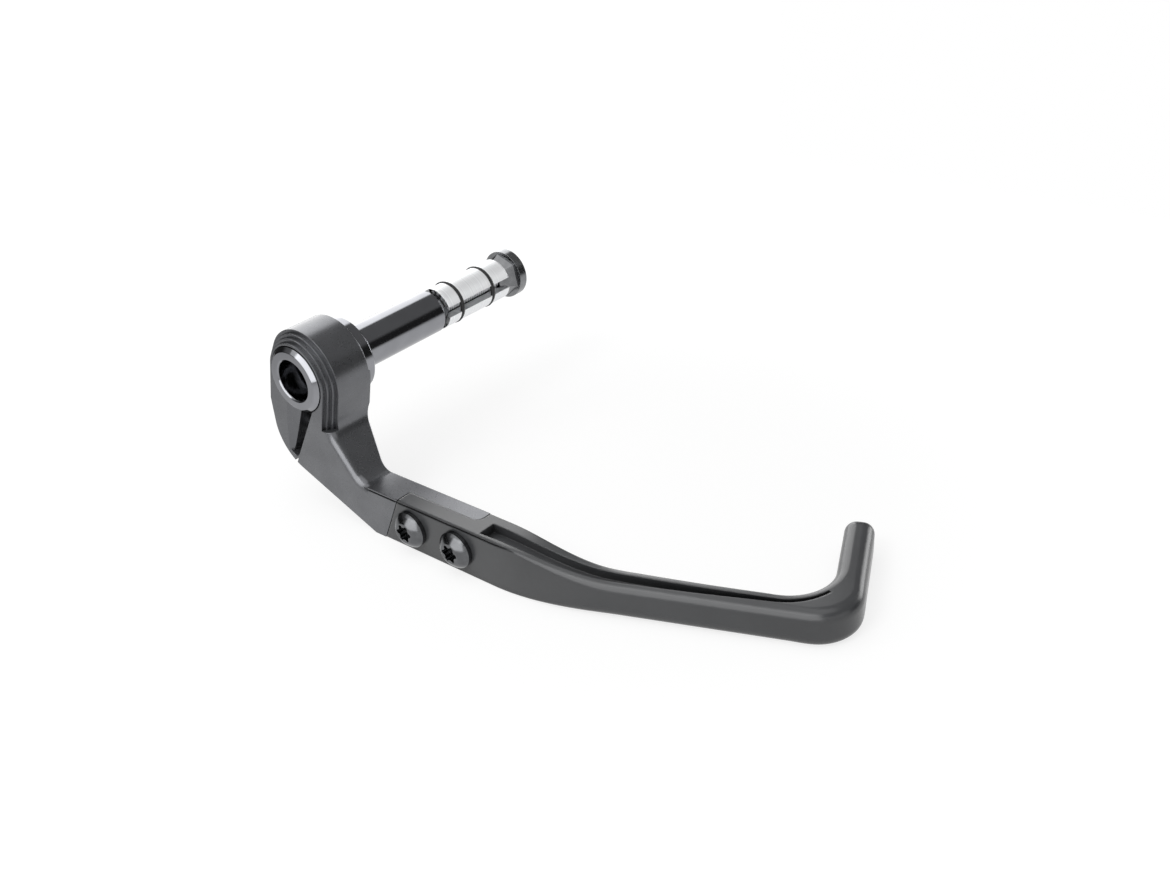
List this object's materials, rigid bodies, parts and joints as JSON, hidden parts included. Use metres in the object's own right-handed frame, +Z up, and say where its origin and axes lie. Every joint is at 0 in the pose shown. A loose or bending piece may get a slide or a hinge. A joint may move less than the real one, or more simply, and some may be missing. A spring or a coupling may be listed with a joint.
{
  "type": "brake lever guard",
  "caption": "Bar-end brake lever guard: a split clamp bracket carries a bent blade with a hooked tip, and a stem with an expanding plug grips the handlebar bore.",
  "frame": {"origin": "on the stem's axis, at the flange face that meets the end of the handlebar", "axes": "+Y along the stem into the handlebar, +X forward along the bolted joint towards the blade, +Z up"},
  "size_m": [0.1692, 0.0914, 0.0549],
  "materials": {
    "black_anodised_aluminium": "milled, bead blasted and black anodised, satin",
    "gloss_anodised_aluminium": "turned, polished and black anodised, gloss",
    "bright_aluminium": "turned, bare",
    "black_steel": "black oxide",
    "filled_nylon": "moulded glass-filled nylon, satin black",
    "black_rubber": "moulded"
  },
  "bodies": {
    "root": {"clamp_bracket": "black_anodised_aluminium", "guard_blade": "filled_nylon", "blade_screws": "black_steel", "clamp_screw": "black_steel", "mount_stem": "gloss_anodised_aluminium", "expander_bolt": "black_steel", "expander_nut": "black_steel", "expander_segment_1": "bright_aluminium", "expander_segment_2": "bright_aluminium", "expander_segment_3": "bright_aluminium", "o_ring_near": "black_rubber", "o_ring_far": "black_rubber"}
  },
  "joints": []
}
